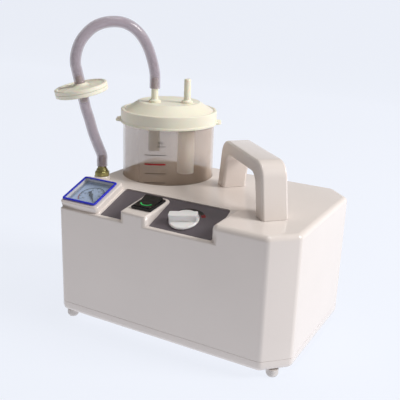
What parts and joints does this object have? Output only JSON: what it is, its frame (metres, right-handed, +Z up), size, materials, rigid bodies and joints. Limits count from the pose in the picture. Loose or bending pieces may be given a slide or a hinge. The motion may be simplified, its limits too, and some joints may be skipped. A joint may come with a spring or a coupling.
{
  "type": "suction pump",
  "caption": "Portable medical suction pump: white casing with a carrying handle, sloped control panel, clear collection jar with a lid, and a hose loop with a disc filter.",
  "frame": {"origin": "on the floor under the middle of the casing's footprint", "axes": "+X to the operator's right along the casing, +Y away from the operator, +Z up"},
  "size_m": [0.3145, 0.196, 0.3421],
  "materials": {
    "casing_white": "glossy moulded ABS, white",
    "panel_grey": "dark warm grey, fine matt grain",
    "foot_white": "pale soft rubber",
    "steel": "zinc-plated",
    "black_plastic": "black",
    "switch_black": "black, with a green mark",
    "knob_white": "white satin",
    "gauge_blue": "bright blue",
    "lens_clear": "clear acrylic",
    "dial_card": "pale printed dial",
    "gauge_metal": "pressed metal",
    "needle_black": "matt black",
    "brass": "dull machined brass",
    "jar_clear": "clear polycarbonate with printed scale",
    "lid_cream": "cream",
    "gasket_white": "white silicone",
    "tube_grey": "smoky translucent",
    "tube_white": "white",
    "float_red": "red",
    "seal_black": "black rubber",
    "hose_clear": "translucent PVC with a lavender tint",
    "filter_cream": "cream",
    "membrane_white": "white filter felt",
    "motor_enamel": "dark enamel",
    "pump_aluminium": "cast aluminium",
    "fan_white": "white nylon",
    "fuse_glass": "glass"
  },
  "bodies": {
    "casing": {"upper_casing": "casing_white", "base_tray": "casing_white", "foot_front_left": "foot_white", "foot_front_right": "foot_white", "foot_rear_left": "foot_white", "foot_rear_right": "foot_white", "casing_screw_front_left": "steel", "casing_screw_front_right": "steel", "casing_screw_rear_left": "steel", "casing_screw_rear_right": "steel", "control_panel": "panel_grey", "switch_body": "black_plastic", "regulator_valve": "brass", "gauge_case": "gauge_metal", "gauge_dial": "dial_card", "gauge_lens": "lens_clear", "gauge_frame": "gauge_blue", "jar_well": "casing_white", "suction_barb": "brass", "barb_nut": "brass", "carry_handle": "casing_white", "pump_mount_front_left": "seal_black", "pump_mount_front_right": "seal_black", "pump_mount_rear_left": "seal_black", "pump_mount_rear_right": "seal_black", "pump_bracket": "steel", "pump_motor": "motor_enamel", "crankcase": "pump_aluminium", "pump_cylinder": "pump_aluminium", "cylinder_head": "pump_aluminium", "internal_hose": "hose_clear", "power_inlet": "black_plastic", "inlet_pin_line": "brass", "inlet_pin_neutral": "brass", "inlet_pin_earth": "brass", "fuse_holder": "black_plastic"},
    "knob": {"regulator_knob": "knob_white", "regulator_stem": "steel"},
    "rocker": {"switch_rocker": "switch_black"},
    "needle": {"gauge_needle": "needle_black"},
    "jar": {"collection_jar": "jar_clear"},
    "lid": {"jar_lid": "lid_cream", "jar_gasket": "gasket_white", "vacuum_spigot": "lid_cream", "patient_spigot": "lid_cream", "vacuum_inner_tube": "tube_grey", "float_guide": "tube_white", "upper_hose": "hose_clear", "lower_hose": "hose_clear", "filter_upper_shell": "filter_cream", "filter_lower_shell": "filter_cream", "filter_membrane": "membrane_white"},
    "float": {"overflow_float": "float_red", "float_seal": "seal_black"},
    "crankshaft": {"motor_shaft": "steel", "cooling_fan": "fan_white", "crank_eccentric": "steel"},
    "piston": {"piston_rod": "pump_aluminium"},
    "fuse_carrier": {"fuse_cap": "black_plastic", "fuse": "fuse_glass"}
  },
  "joints": [
    {"name": "knob_turn", "type": "hinge", "parent": "casing", "child": "knob", "pos_m": [0.0098, -0.07373, 0.14395], "axis": [0, -0.3289, 0.9444], "range_deg": [-150, 120]},
    {"name": "switch_rock", "type": "hinge", "parent": "casing", "child": "rocker", "pos_m": [-0.0365, -0.0705, 0.15053], "axis": [1, 0, 0], "range_deg": [-14, 0]},
    {"name": "needle_swing", "type": "hinge", "parent": "casing", "child": "needle", "pos_m": [-0.1142, -0.06986, 0.1453], "axis": [0, -0.3289, 0.9444], "range_deg": [0, 270], "stiffness_Nm_per_rad": 0.0002},
    {"name": "jar_lift", "type": "slide", "parent": "casing", "child": "jar", "axis": [0, 0, 1], "range_m": [0, 0.075]},
    {"name": "lid_lift", "type": "slide", "parent": "jar", "child": "lid", "axis": [0, 0, 1], "range_m": [0, 0.09]},
    {"name": "float_slide", "type": "slide", "parent": "lid", "child": "float", "axis": [0, 0, 1], "range_m": [0, 0.008]},
    {"name": "shaft_spin", "type": "hinge", "parent": "casing", "child": "crankshaft", "pos_m": [0, 0, 0.07], "axis": [1, 0, 0], "continuous": true},
    {"name": "rod_swing", "type": "hinge", "parent": "crankshaft", "child": "piston", "pos_m": [0.106, 0, 0.0735], "axis": [1, 0, 0], "continuous": true},
    {"name": "fuse_pull", "type": "slide", "parent": "casing", "child": "fuse_carrier", "axis": [0, 1, 0], "range_m": [0, 0.034]}
  ],
  "couplings": [
    {"joint": "rod_swing", "follows": "shaft_spin", "ratio": -1}
  ]
}
